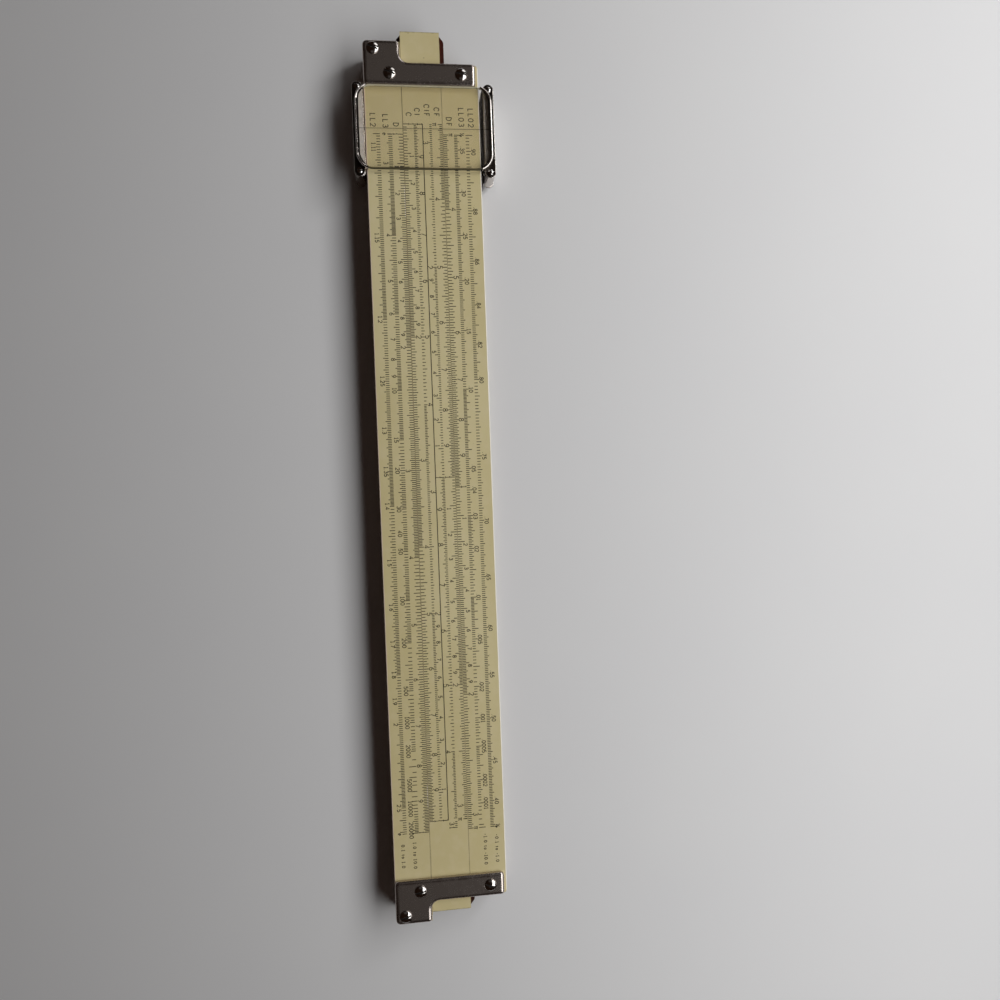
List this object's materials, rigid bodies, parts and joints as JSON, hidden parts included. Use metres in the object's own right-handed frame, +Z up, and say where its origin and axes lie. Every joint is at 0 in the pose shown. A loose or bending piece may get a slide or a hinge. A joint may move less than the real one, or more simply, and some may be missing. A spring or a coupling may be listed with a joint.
{
  "type": "slide rule",
  "caption": "Ten inch duplex slide rule: wooden stock and slide with pale facings on both sides, steel end plates and a glass cursor with a hairline.",
  "frame": {"origin": "bottom centre of the whole rule's box at rest, with its back down: the lowest plane is the back face of the cursor's frames", "axes": "+X along the rule in the direction its scales are read, +Y across it to the edge where the cursor's spring is, +Z up through its front face"},
  "size_m": [0.3188, 0.0502, 0.0136],
  "materials": {
    "core_wood": "dark reddish mahogany, oiled, satin",
    "facing": "aged cream celluloid, semi-gloss",
    "end_plate": "worn polished nickel silver with fine scratches",
    "screw": "polished",
    "cursor_metal": "polished plated sheet",
    "cursor_glass": "clear, ground edges",
    "spring": "spring steel"
  },
  "bodies": {
    "stock": {"lower_stator_core": "core_wood", "lower_stator_front_facing": "facing", "lower_stator_back_facing": "facing", "upper_stator_core": "core_wood", "upper_stator_front_facing": "facing", "upper_stator_back_facing": "facing", "front_left_end_plate": "end_plate", "front_right_end_plate": "end_plate", "back_left_end_plate": "end_plate", "back_right_end_plate": "end_plate", "left_foot_screw": "screw", "left_strip_screw": "screw", "left_tip_screw": "screw", "right_foot_screw": "screw", "right_strip_screw": "screw", "right_tip_screw": "screw"},
    "slide": {"slide_core": "core_wood", "slide_front_facing": "facing", "slide_back_facing": "facing"},
    "cursor": {"cursor_front_glass": "cursor_glass", "cursor_back_glass": "cursor_glass", "cursor_front_lower_frame": "cursor_metal", "cursor_front_upper_frame": "cursor_metal", "cursor_back_lower_frame": "cursor_metal", "cursor_back_upper_frame": "cursor_metal", "cursor_lower_rail": "cursor_metal", "cursor_upper_rail": "cursor_metal", "cursor_spring": "spring", "cursor_front_lower_left_screw": "screw", "cursor_front_lower_right_screw": "screw", "cursor_front_upper_left_screw": "screw", "cursor_front_upper_right_screw": "screw", "cursor_back_lower_left_screw": "screw", "cursor_back_lower_right_screw": "screw", "cursor_back_upper_left_screw": "screw", "cursor_back_upper_right_screw": "screw"}
  },
  "joints": [
    {"name": "slide_travel", "type": "slide", "parent": "stock", "child": "slide", "axis": [1, 0, 0], "range_m": [-0.24635, 0.25365]},
    {"name": "cursor_travel", "type": "slide", "parent": "stock", "child": "cursor", "axis": [1, 0, 0], "range_m": [0, 0.2537]}
  ]
}
